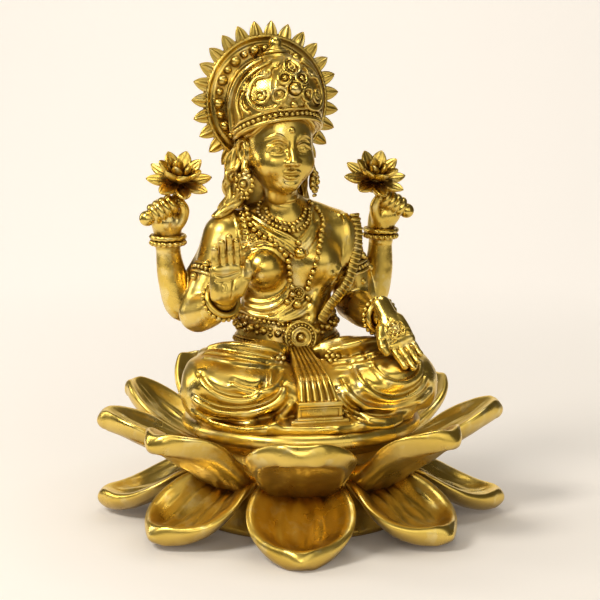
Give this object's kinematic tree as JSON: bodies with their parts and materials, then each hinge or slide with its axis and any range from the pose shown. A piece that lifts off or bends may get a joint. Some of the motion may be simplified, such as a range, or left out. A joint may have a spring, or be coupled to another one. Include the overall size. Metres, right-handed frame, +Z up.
{
  "type": "lakshmi figure",
  "caption": "Cast brass Lakshmi figure with four arms, seated on a lotus of two tiers of open petals.",
  "frame": {"origin": "on the ground under the middle of the lotus", "axes": "+Z up, -Y towards the lotus's front petal, +X towards the figure's left"},
  "size_m": [0.152, 0.152, 0.1811],
  "materials": {
    "lotus_brass": "polished casting with darker yellow-brown hollows",
    "figure_brass": "polished casting with darker yellow-brown hollows"
  },
  "bodies": {
    "root": {"lotus_base": "lotus_brass", "lakshmi_figure": "figure_brass"}
  },
  "joints": []
}
